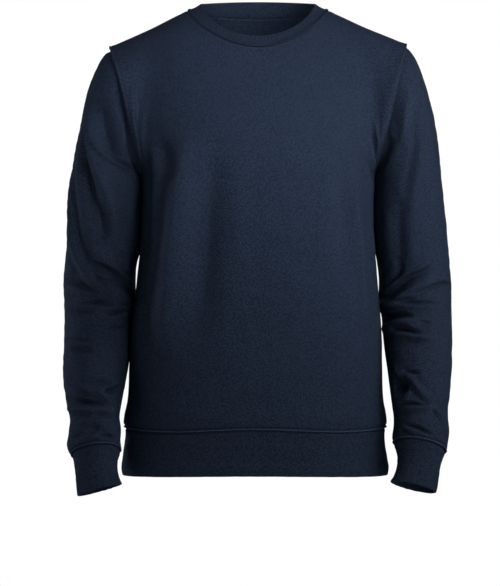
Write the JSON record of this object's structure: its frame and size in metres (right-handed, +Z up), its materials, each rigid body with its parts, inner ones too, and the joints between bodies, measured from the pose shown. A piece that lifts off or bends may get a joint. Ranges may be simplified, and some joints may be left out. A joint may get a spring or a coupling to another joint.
{
  "type": "crewneck sweatshirt",
  "caption": "Plain crew-neck sweatshirt in smooth fleece with long set-in sleeves and a rib neckband, hem band and cuffs, held in the hollow shape it has when worn.",
  "frame": {"origin": "midway between the two points where the neckband meets the shoulder seams", "axes": "+X towards the wearer's left, +Y towards the back of the garment, +Z up"},
  "size_m": [0.5841, 0.258, 0.7394],
  "materials": {
    "fleece": "matt navy loopback fleece, fine pebbled face",
    "rib": "matt navy rib knit, doubled"
  },
  "bodies": {
    "root": {"front": "fleece", "back": "fleece", "sleeve_right": "fleece", "sleeve_left": "fleece", "neckband": "rib", "hem_band": "rib", "cuff_right": "rib", "cuff_left": "rib"}
  },
  "joints": []
}
